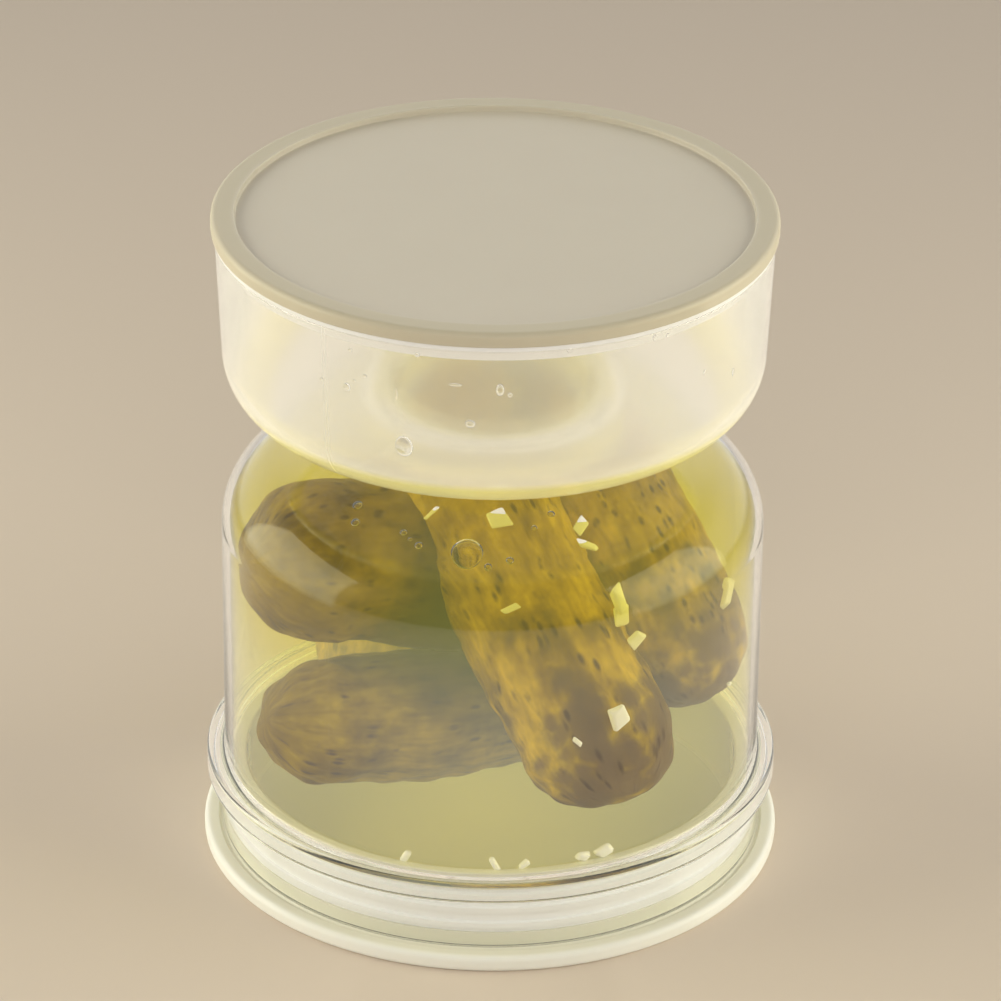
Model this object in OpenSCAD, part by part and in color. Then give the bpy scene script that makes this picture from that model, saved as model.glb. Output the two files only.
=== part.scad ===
// Two-chamber pickle keeper that is turned over to drain. The tall lower chamber
// holds the pickles in brine, the shallow upper one takes the brine when the keeper
// is flipped, and a lift-out strainer sits in the waist between them. Both open ends
// are closed by press-in lids with silicone seals. It stands on its base lid, with
// the origin on the table in the middle of that lid and +Z up.

/* [Base lid] */
// How far the flange that the keeper stands on reaches past the lower chamber's wall
base_flange_out = 4.35; // [3.6:0.05:8]
// Thickness of that flange
base_flange_t = 3.4; // [3:0.1:5]
// Height of the plug above the flange
base_plug_h = 15.4; // [14:0.1:17]

/* [Top lid] */
// How far the top lid's flange reaches past the upper chamber's rim
top_flange_out = 0.7; // [0.5:0.05:4]
// Thickness of that flange
top_flange_t = 2.9; // [2.6:0.1:4]
// Depth of the short plug below the flange
top_plug_h = 3.6; // [3:0.1:5]

/* [Both lids] */
// Thickness of the lids' discs
disc_t = 1.8; // [1.4:0.1:2.2]
// Width of the raised rim round the disc
lid_rim_w = 4.7; // [3.5:0.1:6]
// How far the disc lies below that rim
lid_recess = 1.3; // [0.6:0.1:1.6]
// Rounding of the flange's edges
flange_edge_r = 1.1; // [0.4:0.1:1.3]
// Wall of the plugs behind the seal
plug_wall = 1.5; // [1.2:0.1:2.5]

/* [Lower chamber] */
// Outer diameter of the straight wall
lower_d = 109.3; // [98:0.1:124]
// Height of the straight wall, from the mouth's rim to the shoulder
lower_straight_h = 67.8; // [60:0.5:90]
// Radius of the rounded shoulder
shoulder_r = 14; // [10:0.5:18]
// Slope of the shoulder up to the neck, in degrees
shoulder_slope = 15; // [10:1:18]
// How much thicker the mouth's band is than the wall
mouth_band_t = 0.6; // [0.3:0.1:1]
// Height of the grip ring's underside above the rim
ring_rise = 12.2; // [9:0.1:16]
// Height of the grip ring
ring_h = 4.4; // [3.6:0.1:6]
// How far the grip ring stands out from the wall
ring_out = 3.6; // [3.2:0.1:4.5]

/* [Upper chamber] */
// Outer diameter at the rim
upper_d = 110.6; // [100:0.1:124]
// How much narrower it is where the wall meets the rounded foot
upper_taper = 2.3; // [0:0.1:6]
// Height from the underside to the rim
upper_h = 36.6; // [32:0.2:60]
// Radius of the rounded foot
foot_r = 11.7; // [8:0.1:14]

/* [Walls] */
// Wall of both chambers
wall = 1.6; // [1.4:0.1:2]
// Wall of the neck and the socket at the waist
waist_wall = 1.8; // [1.6:0.1:2.4]

/* [Waist] */
// Bore through the neck
neck_bore_d = 42.4; // [38:0.2:46]
// Height of the neck above the shoulder
neck_h = 7.2; // [7:0.1:9]
// Room for the thread between the neck and the socket that screws over it
thread_room = 1.5; // [1:0.1:2.5]

/* [Strainer] */
// Width of the strainer's rim outside its cup
strainer_rim_w = 2.6; // [2:0.1:4]
// Thickness of the rim
strainer_rim_t = 1.8; // [1.4:0.1:3]
// Depth of the cup below the rim
strainer_cup_h = 10; // [9:0.5:12]
// Wall and floor of the cup
strainer_wall = 1.4; // [1.2:0.1:1.8]
// Diameter of the drain holes
hole_d = 3; // [2:0.1:3.2]
// Number of rings of holes round the middle one
hole_rings = 3; // [2:1:3]
// Plain floor left between the outermost holes and the wall
hole_margin = 1.6; // [1.2:0.1:3]
// Number of slots in the cup's side
side_slots = 16; // [8:1:20]
// Width of those slots
slot_w = 2; // [1.4:0.1:2.4]
// Height of those slots
slot_h = 4.5; // [3:0.1:5]
// Plain wall left between the slots and the cup's floor
slot_rise = 1.2; // [1:0.1:2]

/* [Seals] */
// Height of the base lid's seal band
seal_band_h = 10.4; // [9:0.1:11.5]
// Thickness of that band behind its fins
seal_band_t = 1.1; // [0.8:0.1:1.5]
// How far its fins stand out of the band
seal_fin = 0.7; // [0.4:0.1:0.9]
// Width of a fin at its root
fin_root_w = 1.5; // [1.2:0.1:2]
// Width of a fin at its tip
fin_tip_w = 1.1; // [0.8:0.1:1.2]
// Number of fins
seal_fins = 3; // [2:1:4]
// Thickness of the top gasket between flange and rim
gasket_t = 1.1; // [0.8:0.1:1.6]
// Thickness of the top gasket's leg inside the mouth
gasket_leg_t = 1; // [0.8:0.1:1.6]
// How far the top gasket's edge stands out past the chamber's rim
gasket_lip = 0.3; // [0:0.05:0.4]
// Thickness of the washer at the waist
washer_t = 1; // [0.8:0.1:1.6]

/* [Fits] */
// Free space between a seal and the wall that it meets
seal_gap = 0.15; // [0.1:0.05:0.3]
// Free space round parts that slide past each other
slide_gap = 0.4; // [0.3:0.05:0.5]
// Free space between a seal and its own groove
groove_gap = 0.05; // [0.05:0.01:0.1]

/* [Hidden] */
$fn = 96;

clear_plastic = [0.86, 0.89, 0.86, 0.45];
lid_plastic = [0.86, 0.85, 0.81];
white_silicone = [0.93, 0.93, 0.92];
clear_silicone = [0.88, 0.89, 0.87, 0.7];
strainer_plastic = [0.9, 0.91, 0.86, 0.8];

// Outlines: degrees per chord on large and small roundings, and the size between them
large_step = 7.5;
small_step = 18;
large_from = 4;
// Small roundings: moulded edges, lips that the hand meets, inner corners and bends
edge_r = 0.3;
lip_r = 0.5;
root_r = 0.7;
bend_r = 1.1;
// How far a cutting tool runs past the wall that it cuts
cut_past = 1;

// Heights, from the table up
rim_z = base_flange_t;
ring_z = rim_z + ring_rise;
ring_top_z = ring_z + ring_h;
shoulder_z = rim_z + lower_straight_h;
lower_r = lower_d / 2;
mouth_r = lower_r - wall;
slope_start_r = lower_r - shoulder_r + shoulder_r * sin(shoulder_slope);
slope_start_z = shoulder_z + shoulder_r * cos(shoulder_slope);
bore_r = neck_bore_d / 2;
neck_r = bore_r + waist_wall;
neck_root_z = slope_z(neck_r);
neck_top_z = neck_root_z + neck_h;
upper_z = neck_top_z + washer_t;
floor_z = upper_z + wall;
upper_rim_z = upper_z + upper_h;
top_flange_z = upper_rim_z + gasket_t;
top_z = top_flange_z + top_flange_t;

// Socket that screws over the neck
socket_bore_r = neck_r + thread_room;
socket_r = socket_bore_r + waist_wall;
socket_z = slope_z(socket_bore_r) + slide_gap;

// Base lid
base_flange_r = lower_r + base_flange_out;
plug_land_r = mouth_r - slide_gap;
seal_band_r = mouth_r - seal_gap - seal_fin;
groove_r = seal_band_r - seal_band_t;
plug_in_r = groove_r - plug_wall;
seal_z = base_flange_t + (base_plug_h - seal_band_h) / 2;
// Shallow groove in the flange round the chamber's rim
seat_r = lower_r + mouth_band_t;
seat_step = 0.5;
seat_step_w = 0.9;

// Top lid
upper_rim_r = upper_d / 2;
upper_mouth_r = upper_rim_r - wall;
top_flange_r = upper_rim_r + top_flange_out;
gasket_out_r = upper_rim_r + gasket_lip;
gasket_leg_h = top_plug_h - gasket_t + groove_gap;
gasket_leg_r = upper_wall_r(upper_rim_z - gasket_leg_h) - wall - seal_gap;
top_plug_r = gasket_leg_r - gasket_leg_t - groove_gap;

// Strainer
cup_r = bore_r - slide_gap;
cup_in_r = cup_r - strainer_wall;
cup_z = floor_z - strainer_cup_h;
strainer_rim_r = cup_r + strainer_rim_w;
hole_pitch = (cup_in_r - hole_margin - hole_d / 2) / hole_rings;

// Height of the shoulder's outer face over a radius on its sloping part
function slope_z(r) = slope_start_z + (slope_start_r - r) * tan(shoulder_slope);

// Outer radius of the upper chamber's tapered wall at a height, carried on below the foot's start
function upper_wall_r(z) =
    upper_rim_r - upper_taper / 2 * (upper_rim_z - z) / (upper_h - foot_r);

// Points of the arc that rounds corner b, between its neighbours a and c, to radius b[2]
function corner(a, b, c) =
    let (p = [b[0], b[1]],
         u = ([a[0], a[1]] - p) / norm([a[0], a[1]] - p),
         v = ([c[0], c[1]] - p) / norm([c[0], c[1]] - p),
         half = acos(u * v) / 2,
         reach = b[2] / tan(half),
         mid = p + (u + v) / norm(u + v) * b[2] / sin(half),
         from = p + u * reach - mid,
         a0 = atan2(from[1], from[0]),
         turn = (u[0] * v[1] - u[1] * v[0] > 0 ? -1 : 1) * (180 - 2 * half),
         n = max(2, ceil(abs(turn) / (b[2] > large_from ? large_step : small_step))))
    [for (i = [0:n]) mid + b[2] * [cos(a0 + turn * i / n), sin(a0 + turn * i / n)]];

// Outline through [radius, height] points, rounded where a point has a third number
function outline(pts) =
    let (n = len(pts))
    [for (i = [0:n - 1])
        let (b = pts[i])
        each (len(b) < 3 ? [b] : corner(pts[(i + n - 1) % n], b, pts[(i + 1) % n]))];

module turned(pts) {
    rotate_extrude() polygon(outline(pts));
}

module base_lid() {
    color(lid_plastic) turned([
        [0, lid_recess],
        [base_flange_r - lid_rim_w, lid_recess, edge_r],
        [base_flange_r - lid_rim_w, 0, edge_r],
        [base_flange_r, 0, flange_edge_r],
        [base_flange_r, base_flange_t, flange_edge_r],
        [seat_r + seat_step_w, base_flange_t],
        [seat_r + seat_step_w - seat_step, base_flange_t - seat_step],
        [seat_r, base_flange_t - seat_step],
        [seat_r - seat_step, base_flange_t],
        [plug_land_r, base_flange_t],
        [plug_land_r, seal_z],
        [groove_r, seal_z],
        [groove_r, seal_z + seal_band_h],
        [plug_land_r, seal_z + seal_band_h],
        [plug_land_r, base_flange_t + base_plug_h, lip_r],
        [plug_in_r, base_flange_t + base_plug_h, lip_r],
        [plug_in_r, lid_recess + disc_t, bend_r],
        [0, lid_recess + disc_t]]);
}

// Silicone band in the plug's groove, with fins that wipe the chamber's mouth
module base_lid_seal() {
    pitch = seal_band_h / seal_fins;
    low = seal_z + groove_gap;
    high = seal_z + seal_band_h - groove_gap;
    fins = [for (i = [0:seal_fins - 1])
        let (mid = seal_z + pitch * (i + 0.5))
        each [[seal_band_r, mid - fin_root_w / 2],
              [seal_band_r + seal_fin, mid - fin_tip_w / 2],
              [seal_band_r + seal_fin, mid + fin_tip_w / 2],
              [seal_band_r, mid + fin_root_w / 2]]];
    color(white_silicone) turned(concat(
        [[groove_r + groove_gap, low], [seal_band_r, low]],
        fins,
        [[seal_band_r, high], [groove_r + groove_gap, high]]));
}

module lower_chamber() {
    band_r = lower_r + mouth_band_t;
    ring_r = lower_r + ring_out;
    slope_drop = wall / cos(shoulder_slope);
    color(clear_plastic) turned([
        [mouth_r, rim_z, lip_r],
        [band_r, rim_z, lip_r],
        [band_r, ring_top_z - wall, edge_r],
        [ring_r - wall, ring_top_z - wall, edge_r],
        [ring_r - wall, ring_z, edge_r],
        [ring_r, ring_z, edge_r],
        [ring_r, ring_top_z, root_r],
        [lower_r, ring_top_z, bend_r],
        [lower_r, slope_z(lower_r), shoulder_r],
        [neck_r, neck_root_z, root_r],
        [neck_r, neck_top_z, edge_r],
        [bore_r, neck_top_z, edge_r],
        [bore_r, slope_z(bore_r) - slope_drop, root_r],
        [mouth_r, slope_z(mouth_r) - slope_drop, shoulder_r - wall]]);
}

module waist_seal() {
    color(white_silicone) turned([
        [bore_r, neck_top_z],
        [neck_r, neck_top_z],
        [neck_r, upper_z],
        [bore_r, upper_z]]);
}

// Holes in rings of six, twelve and eighteen round a middle one
module drain_holes() {
    translate([0, 0, cup_z - cut_past]) {
        cylinder(d = hole_d, h = strainer_wall + 2 * cut_past);
        for (ring = [1:hole_rings], k = [0:6 * ring - 1])
            rotate(360 / (6 * ring) * k)
                translate([hole_pitch * ring, 0, 0])
                    cylinder(d = hole_d, h = strainer_wall + 2 * cut_past);
    }
}

// Upright slot with round ends through the cup's wall on the +X side
module side_slot() {
    through = strainer_wall + 2 * cut_past;
    translate([cup_in_r - cut_past, 0, cup_z + strainer_wall + slot_rise]) {
        translate([0, -slot_w / 2, slot_w / 2]) cube([through, slot_w, slot_h - slot_w]);
        for (end = [slot_w / 2, slot_h - slot_w / 2])
            translate([0, 0, end]) rotate([0, 90, 0]) cylinder(d = slot_w, h = through);
    }
}

module strainer() {
    color(strainer_plastic) difference() {
        turned([
            [0, cup_z],
            [cup_r, cup_z, bend_r],
            [cup_r, floor_z, edge_r],
            [strainer_rim_r, floor_z, edge_r],
            [strainer_rim_r, floor_z + strainer_rim_t, root_r],
            [cup_in_r, floor_z + strainer_rim_t, root_r],
            [cup_in_r, cup_z + strainer_wall, lip_r],
            [0, cup_z + strainer_wall]]);
        drain_holes();
        for (k = [0:side_slots - 1]) rotate(360 / side_slots * k) side_slot();
    }
}

module upper_chamber() {
    color(clear_plastic) turned([
        [bore_r, upper_z],
        [socket_bore_r, upper_z],
        [socket_bore_r, socket_z, edge_r],
        [socket_r, socket_z, edge_r],
        [socket_r, upper_z, bend_r],
        [upper_wall_r(upper_z), upper_z, foot_r],
        [upper_rim_r, upper_rim_z, lip_r],
        [upper_mouth_r, upper_rim_z, lip_r],
        [upper_wall_r(floor_z) - wall, floor_z, foot_r - wall],
        [bore_r, floor_z, edge_r]]);
}

// Silicone gasket: a flat leg under the flange and a short leg down inside the mouth
module top_lid_seal() {
    color(clear_silicone) turned([
        [top_plug_r + groove_gap, upper_rim_z - gasket_leg_h, edge_r],
        [gasket_leg_r, upper_rim_z - gasket_leg_h, edge_r],
        [gasket_leg_r, upper_rim_z],
        [gasket_out_r, upper_rim_z, edge_r],
        [gasket_out_r, top_flange_z, edge_r],
        [top_plug_r + groove_gap, top_flange_z]]);
}

module top_lid() {
    color(lid_plastic) turned([
        [0, top_z - lid_recess - disc_t],
        [top_plug_r - plug_wall, top_z - lid_recess - disc_t, lip_r],
        [top_plug_r - plug_wall, top_flange_z - top_plug_h, lip_r],
        [top_plug_r, top_flange_z - top_plug_h, lip_r],
        [top_plug_r, top_flange_z],
        [top_flange_r, top_flange_z, edge_r],
        [top_flange_r, top_z, flange_edge_r],
        [top_flange_r - lid_rim_w, top_z, edge_r],
        [top_flange_r - lid_rim_w, top_z - lid_recess, edge_r],
        [0, top_z - lid_recess]]);
}

base_lid();
base_lid_seal();
lower_chamber();
waist_seal();
strainer();
upper_chamber();
top_lid_seal();
top_lid();
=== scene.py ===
"""A turn-over pickle keeper, filled and closed: gherkins in brine in the clear lower
chamber, an empty frosted chamber above it, and a translucent lid on each end."""

import math
import random

import bpy
from mathutils import Matrix, Vector


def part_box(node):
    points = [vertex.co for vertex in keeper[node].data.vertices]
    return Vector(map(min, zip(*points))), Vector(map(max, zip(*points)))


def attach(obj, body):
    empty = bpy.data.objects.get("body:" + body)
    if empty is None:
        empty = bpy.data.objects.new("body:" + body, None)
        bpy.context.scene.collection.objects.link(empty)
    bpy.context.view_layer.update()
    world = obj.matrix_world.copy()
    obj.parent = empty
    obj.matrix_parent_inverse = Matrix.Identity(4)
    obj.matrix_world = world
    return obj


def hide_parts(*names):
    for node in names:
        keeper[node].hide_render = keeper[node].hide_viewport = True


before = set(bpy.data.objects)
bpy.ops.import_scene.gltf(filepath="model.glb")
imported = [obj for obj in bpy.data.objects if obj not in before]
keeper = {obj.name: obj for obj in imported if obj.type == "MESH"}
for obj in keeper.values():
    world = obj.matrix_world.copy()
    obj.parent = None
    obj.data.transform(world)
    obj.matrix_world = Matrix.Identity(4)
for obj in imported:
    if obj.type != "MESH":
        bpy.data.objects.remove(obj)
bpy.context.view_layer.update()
mm = 0.001


# ---------------------------------------------------------------------------------------
# Camera. It looks down on the keeper from the front through a long lens, a little off
# centre and turned a little, as the keeper was photographed.
# ---------------------------------------------------------------------------------------
camera_distance = 1172.74 * mm
camera_pitch = math.radians(27.508)
camera_roll = math.radians(0.525)
aim_height = 74.84 * mm
frame_side = 1001
focal_pixels = 5821.5
off_centre = (7.69, 0.57)

lens = bpy.data.cameras.new("camera")
lens.sensor_width = 36
lens.lens = lens.sensor_width * focal_pixels / frame_side
lens.shift_x = off_centre[0] / frame_side
lens.shift_y = off_centre[1] / frame_side
lens.clip_start = 0.05
camera = bpy.data.objects.new("camera", lens)
back = Vector((0, -math.cos(camera_pitch), math.sin(camera_pitch)))
camera.location = Vector((0, 0, aim_height)) + back * camera_distance
camera.rotation_euler = (math.pi / 2 - camera_pitch, 0, 0)
camera.rotation_euler.rotate_axis("Z", camera_roll)
bpy.context.scene.collection.objects.link(camera)
bpy.context.scene.camera = camera


# ---------------------------------------------------------------------------------------
# Studio. A pale floor and a pale backdrop in a dim room, and a softbox on each side that
# shows as a long window-like highlight on the chamber's shoulder. A wash lamp in the same
# place as each softbox lights the keeper without showing in its gloss.
# ---------------------------------------------------------------------------------------
floor_colour = (0.75, 0.65, 0.56, 1)
room_dark = (0.04, 0.04, 0.04, 1)
backdrop_pale = (1.08, 1.06, 1.02, 1)
lamp_colour = (1.0, 0.96, 0.90)
softbox_colour = (1.0, 0.96, 0.64)
floor_glow = 0.2
softbox_reach = 0.55
fill_reach = 1.15
fill_height = 0.78
fill_side = 1.3
fill_radiance = 1.5

scene = bpy.context.scene
scene.view_settings.view_transform = "Standard"
scene.cycles.use_denoising = True
scene.cycles.max_bounces = 16
scene.cycles.transmission_bounces = 16
scene.cycles.transparent_max_bounces = 40
scene.cycles.caustics_reflective = False
scene.cycles.caustics_refractive = False


def node(tree, kind, **settings):
    """A new node of a kind, with its plain settings."""
    made = tree.nodes.new(kind)
    for key, value in settings.items():
        setattr(made, key, value)
    return made


def set_inputs(made, **values):
    """Sets a node's inputs, named with underscores for spaces."""
    for key, value in values.items():
        made.inputs[key.replace("_", " ")].default_value = value


def feed(tree, socket, value):
    """Feeds a socket from another node's output, or sets it to a plain value."""
    if isinstance(value, bpy.types.NodeSocket):
        tree.links.new(value, socket)
    else:
        socket.default_value = value


def calculated(tree, operation, *values, clamp=False):
    """The result of one sum on values or on other nodes' outputs."""
    made = node(tree, "ShaderNodeMath", operation=operation, use_clamp=clamp)
    for socket, value in zip(made.inputs, values):
        feed(tree, socket, value)
    return made.outputs["Value"]


def ramped(tree, value, start, end, low=0, high=1, shape="SMOOTHSTEP"):
    """Goes from low to high as a value goes from start to end."""
    ramp = node(tree, "ShaderNodeMapRange", interpolation_type=shape)
    set_inputs(ramp, From_Min=start, From_Max=end, To_Min=low, To_Max=high)
    tree.links.new(value, ramp.inputs["Value"])
    return ramp.outputs["Result"]


def mixed(tree, share, plain, other, blend_type="MIX"):
    """A colour that goes from plain to other as a share goes from 0 to 1."""
    mix = node(tree, "ShaderNodeMix", data_type="RGBA", blend_type=blend_type)
    feed(tree, mix.inputs["Factor"], share)
    feed(tree, mix.inputs["A"], plain)
    feed(tree, mix.inputs["B"], other)
    return mix.outputs["Result"]


# The backdrop is pale low down behind and at the sides, and dark overhead and in front
room = bpy.data.worlds.new("room")
room.use_nodes = True
tree = room.node_tree
way = node(tree, "ShaderNodeTexCoord")
apart = node(tree, "ShaderNodeSeparateXYZ")
tree.links.new(way.outputs["Generated"], apart.inputs["Vector"])
behind = ramped(tree, apart.outputs["Y"], -0.7, -0.1)
low_down = ramped(tree, apart.outputs["Z"], 0.35, 0.8, 1, 0)
backdrop = calculated(tree, "MULTIPLY", behind, low_down)
feed(tree, tree.nodes["Background"].inputs["Color"], mixed(tree, backdrop, room_dark, backdrop_pale))
scene.world = room


def new_material(name):
    """A material with its node tree and its Principled shader."""
    material = bpy.data.materials.new(name)
    material.use_nodes = True
    shader = material.node_tree.nodes["Principled BSDF"]
    return material, material.node_tree, shader


def finish_with(piece, material):
    """Gives the whole of a piece one material."""
    piece.data.materials.clear()
    piece.data.materials.append(material)


# The floor glows a little for rays that pass through the keeper or reflect off it
pale_floor, tree, shader = new_material("pale_floor")
set_inputs(shader, Base_Color=floor_colour, Roughness=0.7, Emission_Color=backdrop_pale)
rays = node(tree, "ShaderNodeLightPath").outputs
by_keeper = calculated(tree, "MAXIMUM", rays["Is Transmission Ray"], rays["Is Glossy Ray"])
feed(tree, shader.inputs["Emission Strength"], calculated(tree, "MULTIPLY", by_keeper, floor_glow))
bpy.ops.object.select_all(action="DESELECT")
bpy.ops.mesh.primitive_circle_add(vertices=96, radius=6, fill_type="NGON")
floor = bpy.context.object
floor.name = "floor"
finish_with(floor, pale_floor)


def softbox(name, bearing, height, width, tall, radiance, in_gloss=True):
    """A rectangular lamp that stands upright at a bearing in degrees, clockwise from the
    front seen from above, and faces the keeper. Only a lamp that shows in gloss has the
    softboxes' colour."""
    lamp = bpy.data.lights.new(name, "AREA")
    lamp.shape = "RECTANGLE"
    lamp.size = width
    lamp.size_y = tall
    lamp.energy = radiance * math.pi * width * tall
    lamp.color = softbox_colour if in_gloss else lamp_colour
    turn = math.radians(bearing)
    lamp_object = bpy.data.objects.new(name, lamp)
    lamp_object.location = (-math.sin(turn) * softbox_reach, -math.cos(turn) * softbox_reach, height)
    lamp_object.rotation_euler = (math.pi / 2, 0, -turn)
    lamp_object.visible_glossy = in_gloss
    lamp_object.visible_transmission = in_gloss
    scene.collection.objects.link(lamp_object)


softbox("left_softbox", 92, 0.28, 0.58, 0.54, 1.7)
softbox("right_softbox", -81, 0.31, 0.52, 0.60, 1.6)
softbox("left_wash", 92, 0.28, 0.58, 0.54, 2.0, False)
softbox("right_wash", -81, 0.31, 0.52, 0.60, 1.9, False)

# A wide fill lamp above and in front, which doesn't show in the gloss
fill = bpy.data.lights.new("front_fill", "AREA")
fill.size = fill_side
fill.energy = fill_radiance * math.pi * fill_side ** 2
fill.color = lamp_colour
fill_lamp = bpy.data.objects.new("front_fill", fill)
fill_lamp.location = (0, -fill_reach, fill_height)
fill_lamp.rotation_euler = (math.atan2(fill_reach, fill_height - aim_height), 0, 0)
fill_lamp.visible_glossy = False
fill_lamp.visible_transmission = False
scene.collection.objects.link(fill_lamp)


# ---------------------------------------------------------------------------------------
# Base lid. A wide disc with a raised foot rim and a tall plug, moulded in one piece from
# translucent off-white plastic. The solid's own shape stays.
# ---------------------------------------------------------------------------------------
def textured(tree, kind, where, **values):
    """The outputs of a texture laid out by coordinates."""
    texture = node(tree, "ShaderNodeTex" + kind)
    set_inputs(texture, **values)
    feed(tree, texture.inputs["Vector"], where)
    return texture.outputs


def moulded_surface_group():
    """The faint flow mottling and the fine texture that every moulded piece has."""
    group = bpy.data.node_groups.new("moulded_surface", "ShaderNodeTree")
    group.interface.new_socket("Mottle", in_out="OUTPUT", socket_type="NodeSocketFloat")
    group.interface.new_socket("Height", in_out="OUTPUT", socket_type="NodeSocketFloat")
    out = node(group, "NodeGroupOutput")
    place = node(group, "ShaderNodeTexCoord").outputs["Object"]
    feed(group, out.inputs["Mottle"], textured(group, "Noise", place, Scale=45, Detail=4)["Fac"])
    feed(group, out.inputs["Height"], textured(group, "Noise", place, Scale=900, Detail=2)["Fac"])
    return group


moulded_surface = moulded_surface_group()


def moulded(tree, shader, pale, dark, smooth, rough, bump):
    """Feeds a shader's colour, roughness and normal from the moulded surface."""
    surface = node(tree, "ShaderNodeGroup", node_tree=moulded_surface)
    mottle = surface.outputs["Mottle"]
    feed(tree, shader.inputs["Base Color"], mixed(tree, mottle, dark, pale))
    feed(tree, shader.inputs["Roughness"], ramped(tree, mottle, 0, 1, smooth, rough, "LINEAR"))
    relief = node(tree, "ShaderNodeBump")
    set_inputs(relief, Strength=bump, Distance=0.05 * mm)
    tree.links.new(surface.outputs["Height"], relief.inputs["Height"])
    tree.links.new(relief.outputs["Normal"], shader.inputs["Normal"])


def radius_at(tree):
    """The distance from the keeper's axis."""
    place = node(tree, "ShaderNodeTexCoord")
    flat = node(tree, "ShaderNodeVectorMath", operation="MULTIPLY")
    flat.inputs[1].default_value = (1, 1, 0)
    radius = node(tree, "ShaderNodeVectorMath", operation="LENGTH")
    tree.links.new(place.outputs["Object"], flat.inputs[0])
    tree.links.new(flat.outputs["Vector"], radius.inputs[0])
    return radius.outputs["Value"]


def height_at(tree):
    """The height above the surface that the keeper stands on."""
    place = node(tree, "ShaderNodeTexCoord")
    apart = node(tree, "ShaderNodeSeparateXYZ")
    tree.links.new(place.outputs["Object"], apart.inputs["Vector"])
    return apart.outputs["Z"]


def tint_towards(tree, shader, measure, plain_at, tinted_at, tint):
    """Tints a moulded colour as a measure goes from one value to the other."""
    plain = shader.inputs["Base Color"].links[0].from_socket
    share = ramped(tree, measure, plain_at, tinted_at)
    feed(tree, shader.inputs["Base Color"], mixed(tree, share, plain, tint, "MULTIPLY"))


def satin_plastic(name, pale, dark):
    """The lids' translucent satin plastic, in the shade of one lid."""
    plastic, tree, shader = new_material(name)
    moulded(tree, shader, pale, dark, 0.36, 0.46, 0.2)
    set_inputs(shader, Subsurface_Weight=0.2, Subsurface_Scale=1)
    set_inputs(shader, Subsurface_Radius=(4 * mm, 3.5 * mm, 3 * mm))
    return plastic, tree, shader


# Inside its outermost edge the lid is a shade darker
base_plastic, tree, shader = satin_plastic("base_plastic", (0.90, 0.90, 0.84, 1), (0.87, 0.87, 0.80, 1))
tint_towards(tree, shader, radius_at(tree), 58.8 * mm, 57.2 * mm, (0.88, 0.86, 0.78, 1))
finish_with(keeper["base_lid"], base_plastic)


# ---------------------------------------------------------------------------------------
# Base lid seal. A white silicone band with three fins, stretched into the plug's groove.
# ---------------------------------------------------------------------------------------
white_silicone, tree, shader = new_material("white_silicone")
moulded(tree, shader, (0.95, 0.96, 0.97, 1), (0.92, 0.93, 0.94, 1), 0.42, 0.52, 0.15)
finish_with(keeper["base_lid_seal"], white_silicone)


# ---------------------------------------------------------------------------------------
# Lower chamber. A clear moulded shell: mouth band, grip ring, straight wall, round
# shoulder and neck, turned here with finer roundings than the solid's. A faint mould
# line runs down each side. Its neck carries a two-start thread.
# ---------------------------------------------------------------------------------------
def rounded(points, step=3, small_step=15, small=4):
    """An outline through (radius, height) points in mm, rounded where a point has a third
    number. A chord takes up step degrees, or small_step on roundings below small mm."""
    path = []
    for before, here, after in zip(points[-1:] + points[:-1], points, points[1:] + points[:1]):
        corner = Vector(here[:2])
        if len(here) < 3:
            path.append(corner)
            continue
        back_way = (Vector(before[:2]) - corner).normalized()
        on_way = (Vector(after[:2]) - corner).normalized()
        half = back_way.angle(on_way) / 2
        middle = corner + (back_way + on_way).normalized() * (here[2] / math.sin(half))
        spoke = corner + back_way * (here[2] / math.tan(half)) - middle
        turn = math.copysign(math.pi - 2 * half, -back_way.cross(on_way))
        chord = small_step if here[2] < small else step
        count = max(2, math.ceil(math.degrees(abs(turn)) / chord))
        for part in range(count + 1):
            path.append(middle + Matrix.Rotation(turn * part / count, 2) @ spoke)
    return path


def turned(name, path, steps=192):
    """A piece turned about the keeper's axis from an outline of (radius, height) in mm. An
    outline that starts on the axis ends there too, and any other one is a closed ring."""
    if path[0][0] > 0:
        path = path + path[:1]
    bpy.ops.object.select_all(action="DESELECT")
    bpy.ops.mesh.primitive_plane_add(size=mm)
    piece = bpy.context.object
    piece.name = name
    bpy.ops.object.mode_set(mode="EDIT")
    bpy.ops.mesh.select_all(action="SELECT")
    bpy.ops.mesh.merge(type="CENTER")
    bpy.ops.transform.translate(value=(path[0][0] * mm, 0, path[0][1] * mm))
    for (r0, z0), (r1, z1) in zip(path, path[1:]):
        move = ((r1 - r0) * mm, 0, (z1 - z0) * mm)
        bpy.ops.mesh.extrude_vertices_move(TRANSFORM_OT_translate={"value": move})
    bpy.ops.mesh.select_all(action="SELECT")
    bpy.ops.mesh.spin(steps=steps, angle=2 * math.pi, center=(0, 0, 0), axis=(0, 0, 1))
    bpy.ops.mesh.select_all(action="SELECT")
    bpy.ops.mesh.remove_doubles(threshold=0.003 * mm)
    bpy.ops.mesh.normals_make_consistent(inside=False)
    bpy.ops.object.mode_set(mode="OBJECT")
    bpy.ops.object.shade_smooth_by_angle(angle=math.radians(32))
    return piece


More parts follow.
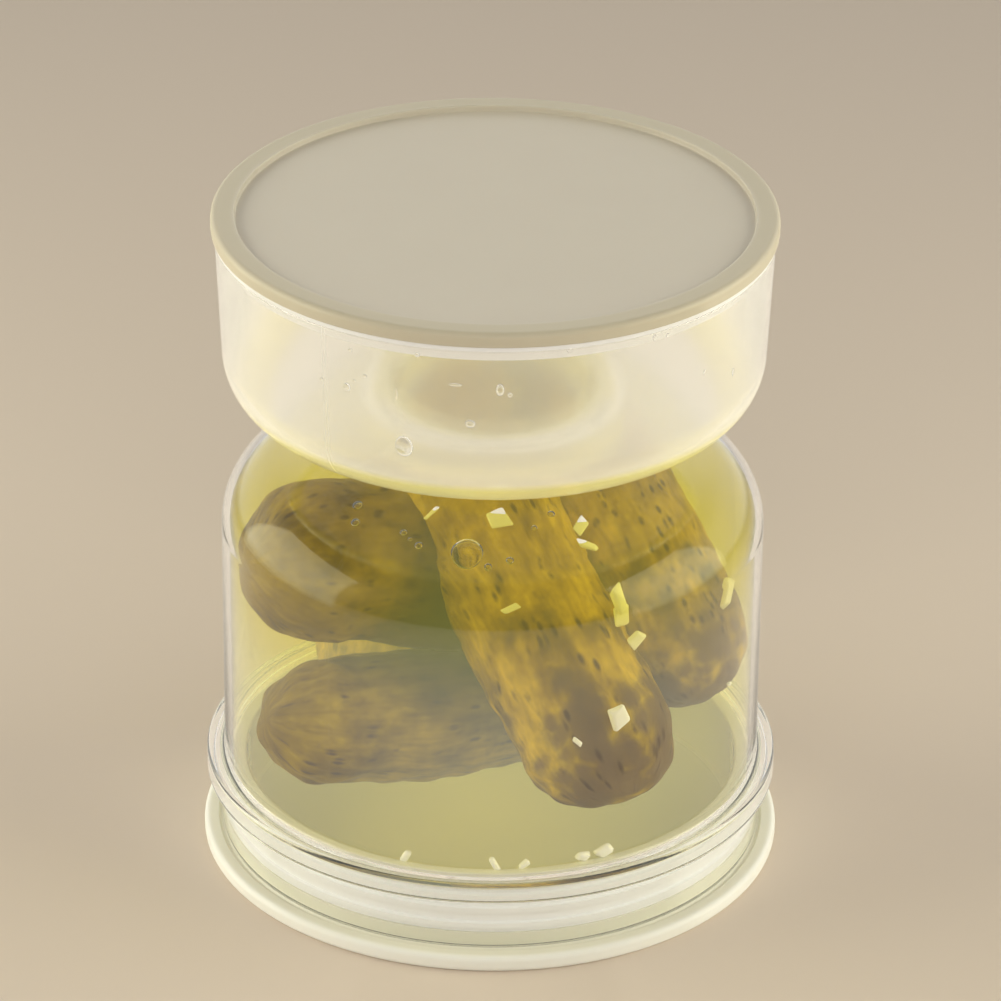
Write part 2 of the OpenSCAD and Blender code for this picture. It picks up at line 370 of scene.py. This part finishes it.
def let_lamps_through(tree, shader, tint):
    """Lamps and light from matt surfaces shine straight through a clear piece, so that what
    is inside it is lit."""
    rays = node(tree, "ShaderNodeLightPath").outputs
    straight = node(tree, "ShaderNodeBsdfTransparent")
    straight.inputs["Color"].default_value = tint
    both = node(tree, "ShaderNodeMixShader")
    for_lighting = calculated(tree, "MAXIMUM", rays["Is Shadow Ray"], rays["Is Diffuse Ray"])
    feed(tree, both.inputs["Fac"], for_lighting)
    tree.links.new(shader.outputs["BSDF"], both.inputs[1])
    tree.links.new(straight.outputs["BSDF"], both.inputs[2])
    tree.links.new(both.outputs["Shader"], tree.nodes["Material Output"].inputs["Surface"])


def mould_line_group():
    """The thin line down each side where the mould's halves met, as a mask."""
    group = bpy.data.node_groups.new("mould_line", "ShaderNodeTree")
    group.interface.new_socket("Line", in_out="OUTPUT", socket_type="NodeSocketFloat")
    out = node(group, "NodeGroupOutput")
    place = node(group, "ShaderNodeTexCoord")
    turn = node(group, "ShaderNodeMapping")
    set_inputs(turn, Rotation=(0, 0, -mould_bearing))
    apart = node(group, "ShaderNodeSeparateXYZ")
    group.links.new(place.outputs["Object"], turn.inputs["Vector"])
    group.links.new(turn.outputs["Vector"], apart.inputs["Vector"])
    off = calculated(group, "ABSOLUTE", apart.outputs["Y"])
    feed(group, out.inputs["Line"], ramped(group, off, 0.02 * mm, 0.13 * mm, 1, 0))
    return group


mould_bearing = math.radians(-126.5)
mould_ridge = 2
mould_line = mould_line_group()


def mark_mould_line(tree, shader, rough):
    """Draws the mould line into a moulded shader's gloss and its relief."""
    line = node(tree, "ShaderNodeGroup", node_tree=mould_line)
    gloss = shader.inputs["Roughness"].links[0].from_socket
    dulled = node(tree, "ShaderNodeMix", data_type="FLOAT")
    dulled.inputs["B"].default_value = rough
    tree.links.new(line.outputs["Line"], dulled.inputs["Factor"])
    tree.links.new(gloss, dulled.inputs["A"])
    tree.links.new(dulled.outputs["Result"], shader.inputs["Roughness"])
    relief = shader.inputs["Normal"].links[0].from_node
    texture = relief.inputs["Height"].links[0].from_socket
    ridge = calculated(tree, "MULTIPLY_ADD", line.outputs["Line"], mould_ridge, texture)
    feed(tree, relief.inputs["Height"], ridge)


def cloud(tree, density, colour, lets_by):
    """Fills a clear piece with a haze that takes up light and glows by itself. The glow is painted light
    that stands in for light scattered in the haze, and it shows most where a ray crosses the piece
    lengthwise. Density is per metre, colour is the glow's colour, and lets_by is how much of each colour
    gets through."""
    absorb = node(tree, "ShaderNodeVolumeAbsorption")
    set_inputs(absorb, Color=lets_by, Density=density)
    haze = node(tree, "ShaderNodeEmission")
    set_inputs(haze, Color=colour, Strength=density)
    both = node(tree, "ShaderNodeAddShader")
    tree.links.new(absorb.outputs["Volume"], both.inputs[0])
    tree.links.new(haze.outputs["Emission"], both.inputs[1])
    tree.links.new(both.outputs["Shader"], tree.nodes["Material Output"].inputs["Volume"])


clear_plastic, tree, shader = new_material("clear_plastic")
moulded(tree, shader, (0.99, 0.99, 0.98, 1), (0.97, 0.98, 0.96, 1), 0.0, 0.03, 0.02)
mark_mould_line(tree, shader, 0.2)
set_inputs(shader, Transmission_Weight=1, IOR=1.37)
let_lamps_through(tree, shader, (0.99, 0.99, 0.98, 1))
# A faint glow in the plastic is painted light that stands in for light scattered in it. It shows most at
# the edges, where rays cross the wall lengthwise.
cloud(tree, 5, (0.95, 0.92, 0.80, 1), (0, 0, 0, 1))

wall = 1.6
mouth = 3.4
mouth_radius = 53.05
wall_radius = mouth_radius + wall
band_radius = 55.25
ring_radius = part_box("lower_chamber")[1][0] / mm
ring_low, ring_top = 15.6, 20.0
shoulder_round = 14
shoulder_base = 71.2
slope = math.radians(15)
neck_out = 23
neck_bore = 21.2
neck_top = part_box("lower_chamber")[1][2] / mm
slope_from = (
    wall_radius - shoulder_round * (1 - math.sin(slope)),
    shoulder_base + shoulder_round * math.cos(slope),
)


def shoulder_height(radius):
    """Height in mm of the shoulder's outer face over a radius, on its slope or in line
    with it."""
    return slope_from[1] + (slope_from[0] - radius) * math.tan(slope)


drop_in = wall / math.cos(slope)
pickle_chamber = turned("pickle_chamber", rounded([
    (mouth_radius, mouth, 0.5),
    (band_radius, mouth, 0.5),
    (band_radius, ring_top - wall, 0.3),
    (ring_radius - wall, ring_top - wall, 0.3),
    (ring_radius - wall, ring_low, 0.3),
    (ring_radius, ring_low, 0.3),
    (ring_radius, ring_top, 0.7),
    (wall_radius, ring_top, 1.1),
    (wall_radius, shoulder_height(wall_radius), shoulder_round),
    (neck_out, shoulder_height(neck_out), 0.7),
    (neck_out, neck_top, 0.3),
    (neck_bore, neck_top, 0.3),
    (neck_bore, shoulder_height(neck_bore) - drop_in, 0.7),
    (mouth_radius, shoulder_height(mouth_radius) - drop_in, shoulder_round - wall),
]))
finish_with(pickle_chamber, clear_plastic)
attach(pickle_chamber, "pickle_chamber")
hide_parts("lower_chamber")

# The thread: two ridges of half a turn each, which sink into the wall at both ends
lead = 8 * mm
neck_radius = neck_out * mm
socket_radius = 24.5 * mm
ridge_stands = 1.1 * mm
ridge_root = 0.8 * mm
ridge_tip = 0.4 * mm
ridge_overlap = 0.2 * mm
ridge_steps = 48
end_sink = 1.1
neck_thread_low = 92.6 * mm
socket_thread_low = 91.6 * mm


def thread_ridge(name, on_radius, stands, low, begin):
    """A thread's ridge on a round wall, from the height low, at begin degrees. It stands
    out from the wall, or into a bore where stands is below zero."""
    bpy.ops.object.select_all(action="DESELECT")
    bpy.ops.mesh.primitive_plane_add(size=2, location=(0, 0, 0))
    ridge = bpy.context.object
    ridge.name = name
    sunk = on_radius - math.copysign(ridge_overlap, stands)
    tip = on_radius + stands
    for corner in ridge.data.vertices:
        outer = corner.co.x > 0
        half = ridge_tip if outer else ridge_root
        corner.co = (tip if outer else sunk, 0, low + math.copysign(half, corner.co.y))
    bpy.ops.object.mode_set(mode="EDIT")
    bpy.ops.mesh.select_all(action="SELECT")
    bpy.ops.mesh.delete(type="ONLY_FACE")
    bpy.ops.object.mode_set(mode="OBJECT")
    sweep = ridge.modifiers.new("sweep", "SCREW")
    sweep.angle = math.pi
    sweep.screw_offset = lead / 2
    sweep.steps = sweep.render_steps = ridge_steps
    bpy.ops.object.modifier_apply(modifier="sweep")
    ease = {0: 1.0, 1: 0.7, 2: 0.35}
    step = math.pi / ridge_steps
    for corner in ridge.data.vertices:
        angle = math.atan2(corner.co.y, corner.co.x) % (2 * math.pi)
        nearest = round(min(angle, abs(math.pi - angle)) / step)
        sink = ease.get(nearest, 0) * abs(stands) * end_sink
        radius = math.hypot(corner.co.x, corner.co.y)
        if abs(radius - tip) < abs(stands) / 2:
            share = (radius - math.copysign(sink, stands)) / radius
            corner.co.x *= share
            corner.co.y *= share
    bpy.ops.object.mode_set(mode="EDIT")
    bpy.ops.mesh.select_all(action="SELECT")
    bpy.ops.mesh.fill_holes(sides=4)
    bpy.ops.mesh.select_all(action="SELECT")
    bpy.ops.mesh.normals_make_consistent(inside=False)
    bpy.ops.object.mode_set(mode="OBJECT")
    bpy.ops.object.shade_smooth_by_angle(angle=math.radians(25))
    ridge.rotation_euler = (0, 0, math.radians(begin))
    bpy.ops.object.transform_apply(location=True, rotation=True, scale=True)
    return ridge


for number, begin in enumerate((0, 180)):
    ridge = thread_ridge(f"neck_thread_{number}", neck_radius, ridge_stands, neck_thread_low, begin)
    finish_with(ridge, clear_plastic)
    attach(ridge, "pickle_chamber")


# ---------------------------------------------------------------------------------------
# Brine. Yellow and a little hazy, it fills the base lid's well and the lower chamber up
# into the neck. It is filling, not a piece of the keeper.
# ---------------------------------------------------------------------------------------
film = 0.08
well_radius = 49.6
well_floor = 3.1
plug_top = 18.8
brine_top = 89.4

brine = turned("brine", rounded([
    (0, well_floor + film),
    (well_radius - film, well_floor + film),
    (well_radius - film, plug_top + film),
    (mouth_radius - film, plug_top + film),
    (mouth_radius - film, shoulder_height(mouth_radius) - drop_in - film, shoulder_round - wall),
    (neck_bore - film, shoulder_height(neck_bore) - drop_in - film),
    (neck_bore - film, brine_top),
    (0, brine_top),
]))

# Painted shade: the brine is coloured a deeper, darker yellow towards the shoulder
brine_pale = (0.99, 0.98, 0.90, 1)
brine_deep = (0.68, 0.59, 0.04, 1)
pickling_brine, tree, shader = new_material("pickling_brine")
deepens = ramped(tree, height_at(tree), 42 * mm, 76 * mm)
feed(tree, shader.inputs["Base Color"], mixed(tree, deepens, brine_pale, brine_deep))
set_inputs(shader, Roughness=0, IOR=1.01, Transmission_Weight=1)
let_lamps_through(tree, shader, (1, 1, 1, 1))
# The brine's haze glows by itself: painted light that stands in for light scattered in the cloudy brine
cloud(tree, 34, (0.130, 0.140, 0.165, 1), (0.83, 0.78, 0.20, 1))
finish_with(brine, pickling_brine)
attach(brine, "pickle_chamber")


# ---------------------------------------------------------------------------------------
# Gherkins. Whole pickled cucumbers, amber and olive with warts and dark dots, leaning and
# lying as they settled. They are filling, not pieces of the keeper.
# ---------------------------------------------------------------------------------------
def stretched(tree, where, scale):
    """Coordinates, multiplied by a scale on each axis."""
    stretch = node(tree, "ShaderNodeMapping")
    set_inputs(stretch, Scale=scale)
    feed(tree, stretch.inputs["Vector"], where)
    return stretch.outputs["Vector"]


def gherkin_skin(name, lightness, bruised, pressed):
    """Mottled amber skin, streaked and dotted along its length. Bruised is how brown its low end is. The
    last number is how strongly the skin is painted dark green as shade where the gherkins crowd together
    and shade each other."""
    skin, tree, shader = new_material(name)
    place = node(tree, "ShaderNodeTexCoord").outputs["Object"]
    along = node(tree, "ShaderNodeUVMap", uv_map="along").outputs["UV"]

    # Streaks along the skin, broken up by blotches
    lengthwise = stretched(tree, along, (34, 5, 1))
    streaks = textured(tree, "Noise", lengthwise, Scale=1, Detail=5, Roughness=0.55)["Fac"]
    blotches = textured(tree, "Noise", place, Scale=80, Detail=8, Roughness=0.62)["Fac"]
    blend = node(tree, "ShaderNodeMix", data_type="FLOAT")
    feed(tree, blend.inputs["Factor"], 0.6)
    feed(tree, blend.inputs["A"], streaks)
    feed(tree, blend.inputs["B"], blotches)
    skin_tone = node(tree, "ShaderNodeValToRGB")
    tones = skin_tone.color_ramp.elements
    tones[0].position = 0.36
    tones[0].color = (0.17, 0.11, 0.006, 1)
    tones[1].position = 0.64
    tones[1].color = (0.64, 0.46, 0.014, 1)
    tones.new(0.45).color = (0.30, 0.20, 0.006, 1)
    tones.new(0.54).color = (0.45, 0.31, 0.007, 1)
    for tone in tones:
        tone.color = [share * lightness for share in tone.color[:3]] + [1]
    feed(tree, skin_tone.inputs["Fac"], blend.outputs["Result"])

    # A netted bruise over the low end
    ends = node(tree, "ShaderNodeSeparateXYZ")
    feed(tree, ends.inputs["Vector"], along)
    ragged = calculated(tree, "ADD", blotches, ends.outputs["Y"])
    cells = textured(tree, "Voronoi", place, Scale=125, Detail=1, Roughness=0.6)["Distance"]
    netted = calculated(tree, "MULTIPLY_ADD", cells, 0.75, ragged)
    browned = ramped(tree, netted, 1.00, 0.40, 0, bruised)
    colour = mixed(tree, browned, skin_tone.outputs["Color"], bruise_colour)

    # Dark dots, gathered where the blotches are dark
    spread = textured(tree, "Voronoi", stretched(tree, along, (40, 9, 1)), Scale=1)["Distance"]
    dots = ramped(tree, spread, 0.10, 0.34, 0.8, 0)
    gather = ramped(tree, blotches, 0.50, 0.60, 1, 0, "LINEAR")
    dotted = calculated(tree, "MULTIPLY", dots, gather, clamp=True)
    colour = mixed(tree, dotted, colour, dot_colour)

    # Painted shade: dark green where the gherkins crowd together and shade each other
    crowd = node(tree, "ShaderNodeVectorMath", operation="DISTANCE")
    feed(tree, crowd.inputs[0], place)
    feed(tree, crowd.inputs[1], crowded_at)
    greened = ramped(tree, crowd.outputs["Value"], 8 * mm, 30 * mm, pressed, 0)
    feed(tree, shader.inputs["Base Color"], mixed(tree, greened, colour, pressed_colour))
    set_inputs(shader, Roughness=0.5, Specular_IOR_Level=0.06)
    relief = node(tree, "ShaderNodeBump")
    set_inputs(relief, Strength=0.4, Distance=0.4 * mm)
    feed(tree, relief.inputs["Height"], blend.outputs["Result"])
    feed(tree, shader.inputs["Normal"], relief.outputs["Normal"])
    return skin


bruise_colour = (0.170, 0.118, 0.072, 1)
dot_colour = (0.085, 0.052, 0.030, 1)
# Painted shade: the dark green below is shade painted round one point where the gherkins crowd together,
# and the second skin is a darker copy of the first for the gherkins that lie in shade
pressed_colour = (0.025, 0.028, 0.004, 1)
crowded_at = (-7 * mm, -7 * mm, 57 * mm)
ripe_skin = gherkin_skin("ripe_skin", 1.3, 0.9, 0)
pressed_skin = gherkin_skin("pressed_skin", 0.8, 0.2, 0.97)
golden_skin = gherkin_skin("golden_skin", 1.3, 0, 0)
warts = bpy.data.textures.new("warts", "VORONOI")
warts.noise_scale = 6 * mm
lumps = bpy.data.textures.new("lumps", "CLOUDS")
lumps.noise_scale = 20 * mm

# A wart's texture is lowest at its middle, so the warts' strength is below zero
wart_strength = -0.9 * mm
lump_strength = 3.4 * mm
# Each gherkin starts its skin's pattern elsewhere, by this much a metre
skin_shift = 50
# How much of its bow a gherkin is moved by, towards its belly
bow_share = 0.6


def modify(piece, kind, **settings):
    """Adds a modifier with its settings and applies it."""
    modifier = piece.modifiers.new(kind.lower(), kind)
    for key, value in settings.items():
        setattr(modifier, key, value)
    bpy.context.view_layer.objects.active = piece
    bpy.ops.object.modifier_apply(modifier=modifier.name)


def pick(piece, kind, test):
    """Leaves a piece in edit mode with the corners or edges that pass a test selected."""
    bpy.ops.object.mode_set(mode="EDIT")
    bpy.ops.mesh.select_mode(type=kind)
    bpy.ops.mesh.select_all(action="DESELECT")
    bpy.ops.object.mode_set(mode="OBJECT")
    for part in piece.data.vertices if kind == "VERT" else piece.data.edges:
        part.select = test(part)
    bpy.ops.object.mode_set(mode="EDIT")


def gherkin(name, skin, low, high, thickness, belly, bow):
    """A gherkin whose round ends are centred near low and high, in mm. Its middle bows out
    by about bow mm towards belly."""
    low, high = Vector(low) * mm, Vector(high) * mm
    radius = thickness / 2 * mm
    reach = (high - low).length / 2
    bpy.ops.object.select_all(action="DESELECT")
    bpy.ops.mesh.primitive_uv_sphere_add(segments=40, ring_count=20, radius=radius)
    piece = bpy.context.object
    piece.name = name
    pick(piece, "VERT", lambda corner: corner.co.z > 0.01 * mm)
    bpy.ops.transform.translate(value=(0, 0, 2 * reach))
    bpy.ops.mesh.select_all(action="SELECT")
    bpy.ops.transform.translate(value=(0, 0, -reach))
    corners = piece.data.vertices

    def is_long(edge):
        """Whether an edge runs from one round end to the other."""
        first, last = edge.vertices
        return abs(corners[first].co.z - corners[last].co.z) > reach

    pick(piece, "EDGE", is_long)
    bpy.ops.mesh.subdivide(number_cuts=10)
    bpy.ops.mesh.select_mode(type="VERT")
    bpy.ops.object.mode_set(mode="OBJECT")
    along = piece.data.uv_layers.new(name="along")
    for loop in piece.data.loops:
        spot = piece.data.vertices[loop.vertex_index].co
        around = abs(math.atan2(spot.y, spot.x)) / (2 * math.pi)
        along.data[loop.index].uv = (around + low.x * skin_shift, spot.z / (2 * reach))
    length_way = (high - low).normalized()
    out_way = Vector(belly) - length_way * length_way.dot(Vector(belly))
    y_way = -out_way.normalized()
    facing = Matrix((y_way.cross(length_way), y_way, length_way)).transposed()
    piece.matrix_world = Matrix.Translation((low + high) / 2) @ facing.to_4x4()
    modify(piece, "SUBSURF", levels=2, render_levels=2)
    modify(piece, "DISPLACE", texture=lumps, texture_coords="GLOBAL", strength=lump_strength)
    modify(piece, "DISPLACE", texture=warts, texture_coords="GLOBAL", strength=wart_strength)
    modify(piece, "SIMPLE_DEFORM", deform_method="BEND", deform_axis="X", angle=4 * bow * mm / reach)
    for corner in piece.data.vertices:
        corner.co.y -= bow * mm * bow_share
    piece.select_set(True)
    bpy.ops.object.shade_smooth()
    bpy.ops.object.transform_apply(location=True, rotation=True, scale=True)
    finish_with(piece, skin)
    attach(piece, "pickle_chamber")


gherkin("gherkin_front", ripe_skin, (20.5, -28.5, 38), (-4, 1, 74), 31, (0.5, -1, 0.5), 1.5)
gherkin("gherkin_left", pressed_skin, (-34, -11, 66.5), (2, 8, 53), 32.5, (-0.3, 0, 1), 2)
gherkin("gherkin_low", pressed_skin, (-33, -18, 34.5), (12, 2, 30), 26.5, (0, -0.3, -1), 2)
gherkin("gherkin_right", ripe_skin, (37.5, -3, 46), (20, 15, 72), 28, (1, 0, 1), 2)
gherkin("gherkin_back", golden_skin, (-22, 30, 24), (-9, 25, 76), 28, (0, 1, 0), 2)
gherkin("gherkin_back_right", pressed_skin, (17, 34, 22), (15, 29, 72), 28, (0, 1, 0), 2)


# ---------------------------------------------------------------------------------------
# Garlic and bubbles. Chips of garlic that lie against the wall and on the lid, and air
# bubbles caught under the shoulder. They are filling too.
# ---------------------------------------------------------------------------------------
dice = random.Random(5)
rounding_from = 68
rounding_tilt = 2.2
chip_inset = 1.6
chip_drop = 1


def gathered(name, pieces, material, body):
    """Joins small pieces into one object with one material."""
    bpy.ops.object.select_all(action="DESELECT")
    for piece in pieces:
        piece.select_set(True)
    bpy.context.view_layer.objects.active = pieces[0]
    bpy.ops.object.join()
    bpy.ops.object.transform_apply(location=True, rotation=True, scale=True)
    joined = bpy.context.object
    joined.name = name
    finish_with(joined, material)
    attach(joined, body)


def lies_on(point):
    """The turn that makes a piece's flat side face out of the chamber at a point in mm.
    Above rounding_from it tilts up with the shoulder."""
    out = Vector((point[0], point[1], max(0, point[2] - rounding_from) * rounding_tilt))
    return out.to_track_quat("Z", "Y").to_euler()


def chip(point, size):
    """An angular flake of garlic at a point in mm, with its length, width and thickness."""
    bpy.ops.mesh.primitive_cube_add(size=mm)
    flake = bpy.context.object
    for corner in flake.data.vertices:
        for axis in range(3):
            corner.co[axis] *= size[axis] * dice.uniform(0.5, 1.3)
    bpy.ops.object.mode_set(mode="EDIT")
    bpy.ops.mesh.select_all(action="SELECT")
    bpy.ops.mesh.bevel(offset=min(size) * 0.35 * mm, segments=3)
    bpy.ops.object.mode_set(mode="OBJECT")
    bpy.ops.object.shade_smooth()
    flake.rotation_euler = lies_on(point)
    flake.rotation_euler.rotate_axis("Z", dice.uniform(0, 3))
    inward = 1 - chip_inset / math.hypot(point[0], point[1])
    flake.location = Vector((point[0] * inward, point[1] * inward, point[2] - chip_drop)) * mm
    return flake


garlic, tree, shader = new_material("garlic")
moulded(tree, shader, (0.98, 0.97, 0.94, 1), (0.92, 0.90, 0.84, 1), 0.45, 0.6, 0.6)
set_inputs(shader, Subsurface_Weight=0.3, Subsurface_Radius=(2 * mm, 2 * mm, 1 * mm), Subsurface_Scale=1)
chips = [
    chip((1.4, -31.3, 87.2), (4.4, 4.0, 1.2)),
    chip((18.1, -31.7, 85.8), (2.6, 4.2, 1.0)),
    chip((19.5, -37.0, 84.2), (1.6, 4.6, 1.0)),
    chip((25.3, -43.3, 76.4), (2.6, 6.0, 1.2)),
    chip((25.9, -43.0, 72.4), (3.0, 5.0, 1.2)),
    chip((29.0, -41.9, 67.0), (2.8, 3.4, 1.2)),
    chip((47.7, -18.2, 64.8), (4.0, 5.6, 1.2)),
    chip((25.8, -44.0, 50.8), (5.0, 3.6, 1.4)),
    chip((48.8, -15.0, 42.5), (1.2, 2.2, 0.8)),
    chip((3.9, -49.5, 77.3), (3.6, 1.2, 0.8)),
    chip((17.4, -48.0, 47.1), (2.4, 1.0, 0.6)),
    chip((-12.5, -29.5, 87.2), (3.8, 0.9, 0.6)),
    chip((1.1, -51.0, 20.4), (3.4, 1.4, 1.6)),
    chip((7.0, -50.5, 20.2), (2.6, 1.4, 1.4)),
    chip((19.0, -47.4, 20.6), (3.6, 2.0, 1.8)),
    chip((23.4, -45.5, 20.8), (4.4, 2.2, 2.0)),
    chip((-17.0, -48.0, 20.4), (3.6, 1.6, 1.6)),
]
gathered("garlic_chips", chips, garlic, "pickle_chamber")


def blister(point, width, height, flat):
    """A round flattened blob on a wall, at a point in mm."""
    bpy.ops.mesh.primitive_uv_sphere_add(segments=24, ring_count=12, radius=mm / 2)
    blob = bpy.context.object
    bpy.ops.object.shade_smooth()
    blob.rotation_euler = lies_on(point)
    blob.scale = (width, height, flat)
    blob.location = Vector(point) * mm
    return blob


air, tree, shader = new_material("air_bubble")
set_inputs(shader, Base_Color=(1, 1, 0.96, 1), Roughness=0, IOR=0.8, Transmission_Weight=1)
let_lamps_through(tree, shader, (1, 1, 1, 1))
bubbles = [
    blister((-4.9, -40.6, 84.2), 6.4, 6.4, 2.2),
    blister((3.4, -42.6, 83.6), 1.6, 1.6, 1.2),
    blister((-0.8, -44.2, 83.0), 1.5, 1.5, 1.2),
    blister((-26.5, -24.0, 85.7), 2.2, 2.2, 1.5),
    blister((-26.8, -29.2, 84.6), 1.9, 1.9, 1.4),
    blister((-17.3, -34.0, 85.0), 1.5, 1.5, 1.2),
    blister((-14.3, -38.0, 84.3), 1.7, 1.7, 1.2),
    blister((11.4, -29.0, 86.8), 1.5, 1.5, 1.2),
    blister((8.1, -33.4, 86.0), 1.2, 1.2, 1.0),
    blister((-16.0, -36.0, 84.6), 1.0, 1.0, 0.8),
]
gathered("bubbles", bubbles, air, "pickle_chamber")


# ---------------------------------------------------------------------------------------
# Waist seal. A flat white silicone washer between the neck's rim and the socket.
# ---------------------------------------------------------------------------------------
finish_with(keeper["waist_seal"], white_silicone)


# ---------------------------------------------------------------------------------------
# Upper chamber. A milky, lightly frosted shell with a tapered wall and a rounded foot.
# Its socket has the matching thread. Splashed drops cling to its wall.
# ---------------------------------------------------------------------------------------
frosted_plastic, tree, shader = new_material("frosted_plastic")
moulded(tree, shader, (0.99, 0.98, 0.95, 1), (0.97, 0.96, 0.92, 1), 0.13, 0.18, 0.05)

# Painted reflection: the socket and the foot's rounding are tinted with the brine's yellow, standing in
# for the yellow brine below that is reflected in them and seen through them
flat_radius = 44 * mm
past_floor = calculated(tree, "SUBTRACT", radius_at(tree), flat_radius, clamp=True)
underneath = calculated(tree, "MULTIPLY_ADD", past_floor, -0.8, height_at(tree))
tint_towards(tree, shader, underneath, 98.8 * mm, 97.3 * mm, (0.99, 0.93, 0.30, 1))

# The foot's thick rounding gathers light, so a faint glow stands in for that
no_light = (0, 0, 0, 1)
gathered_light = (0.065, 0.060, 0.030, 1)
outward = ramped(tree, past_floor, 2 * mm, 7 * mm)
foot_low = ramped(tree, height_at(tree), 112 * mm, 106.5 * mm)
on_foot = calculated(tree, "MULTIPLY", outward, foot_low)
feed(tree, shader.inputs["Emission Color"], mixed(tree, on_foot, no_light, gathered_light))
mark_mould_line(tree, shader, 0.3)
set_inputs(shader, Transmission_Weight=0.92, IOR=1.40, Emission_Strength=1)
let_lamps_through(tree, shader, (0.97, 0.96, 0.94, 1))
# The frosted plastic's milky haze glows by itself: painted light that stands in for light scattered in the
# plastic
cloud(tree, 95, (0.96, 0.90, 0.76, 1), (0, 0, 0, 1))

underside = 98.62
floor_top = underside + wall
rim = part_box("upper_chamber")[1][2] / mm
rim_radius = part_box("upper_chamber")[1][0] / mm
foot_round = 11.7
taper = 1.15 / (rim - underside - foot_round)
socket_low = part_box("upper_chamber")[0][2] / mm
socket_bore = socket_radius / mm
socket_out = socket_bore + 1.8
brine_chamber = turned("brine_chamber", rounded([
    (neck_bore, underside),
    (socket_bore, underside),
    (socket_bore, socket_low, 0.3),
    (socket_out, socket_low, 0.3),
    (socket_out, underside, 1.1),
    (rim_radius - taper * (rim - underside), underside, foot_round),
    (rim_radius, rim, 0.5),
    (rim_radius - wall, rim, 0.5),
    (rim_radius - wall - taper * (rim - floor_top), floor_top, foot_round - wall),
    (neck_bore, floor_top, 0.3),
]))
finish_with(brine_chamber, frosted_plastic)
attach(brine_chamber, "brine_chamber")
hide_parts("upper_chamber")

for number, begin in enumerate((45, 225)):
    ridge = thread_ridge(f"socket_thread_{number}", socket_radius, -ridge_stands, socket_thread_low, begin)
    finish_with(ridge, frosted_plastic)
    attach(ridge, "brine_chamber")

water, tree, shader = new_material("water_drop")
set_inputs(shader, Base_Color=(1, 1, 1, 1), Roughness=0, IOR=1.33, Transmission_Weight=1)
let_lamps_through(tree, shader, (1, 1, 1, 1))


def drop(point, width, height, flat=0.9):
    """A drop of brine that clings to the upper chamber's wall."""
    blob = blister(point, width, height, flat)
    blob.rotation_euler = Vector((point[0], point[1], 0)).to_track_quat("Z", "Y").to_euler()
    return blob


drops = [
    drop((-17.0, -51.5, 113.3), 3.6, 4.4, 1.6),
    drop((1.2, -54.9, 127.1), 1.6, 2.6),
    drop((-4.4, -54.3, 119.6), 2.0, 1.7, 1.2),
    drop((-28.0, -47.1, 123.6), 1.6, 1.8),
    drop((-32.9, -43.9, 123.6), 0.9, 0.8, 0.7),
    drop((-26.6, -48.0, 125.3), 0.8, 0.8, 0.7),
    drop((-24.5, -49.1, 126.9), 1.0, 0.8, 0.7),
    drop((-18.5, -51.6, 124.6), 0.5, 2.6, 0.6),
    drop((-14.5, -53.0, 133.4), 1.1, 0.9, 0.7),
    drop((28.7, -46.6, 118.7), 0.7, 0.7, 0.6),
    drop((-7.3, -54.5, 127.9), 2.6, 0.7, 0.5),
    drop((3.1, -54.8, 126.0), 1.0, 1.0, 0.6),
    drop((40.5, -36.7, 122.3), 0.8, 1.2, 0.5),
    drop((46.3, -28.8, 118.5), 0.9, 1.6, 0.5),
    drop((30.5, -46.0, 134.0), 1.0, 1.4, 0.6),
    drop((-27.3, -47.9, 131.8), 0.9, 0.9, 0.6),
    drop((14.3, -53.4, 134.9), 1.2, 1.2, 0.6),
    drop((33.0, -44.3, 133.8), 0.8, 0.8, 0.5),
]
gathered("wall_drops", drops, water, "brine_chamber")


# ---------------------------------------------------------------------------------------
# Strainer. A clear, slightly yellow cup with drain holes and side slots. It hangs in the
# neck by its rim.
# ---------------------------------------------------------------------------------------
strainer_plastic, tree, shader = new_material("strainer_plastic")
moulded(tree, shader, (0.98, 0.96, 0.76, 1), (0.96, 0.94, 0.70, 1), 0.06, 0.12, 0.05)
set_inputs(shader, Transmission_Weight=0.82, IOR=1.06)
let_lamps_through(tree, shader, (0.95, 0.96, 0.92, 1))
finish_with(keeper["strainer"], strainer_plastic)


# ---------------------------------------------------------------------------------------
# Top lid and its seal. The lid is of the same plastic as the base lid in a warmer shade,
# with a short plug, and its gasket is a thin ring of the base lid seal's silicone.
# ---------------------------------------------------------------------------------------
finish_with(keeper["top_lid_seal"], white_silicone)
# Towards its rim the lid is a shade darker
lid_plastic, tree, shader = satin_plastic("lid_plastic", (0.66, 0.615, 0.525, 1), (0.62, 0.57, 0.48, 1))
tint_towards(tree, shader, radius_at(tree), 50.5 * mm, 52.5 * mm, (0.92, 0.905, 0.82, 1))
finish_with(keeper["top_lid"], lid_plastic)
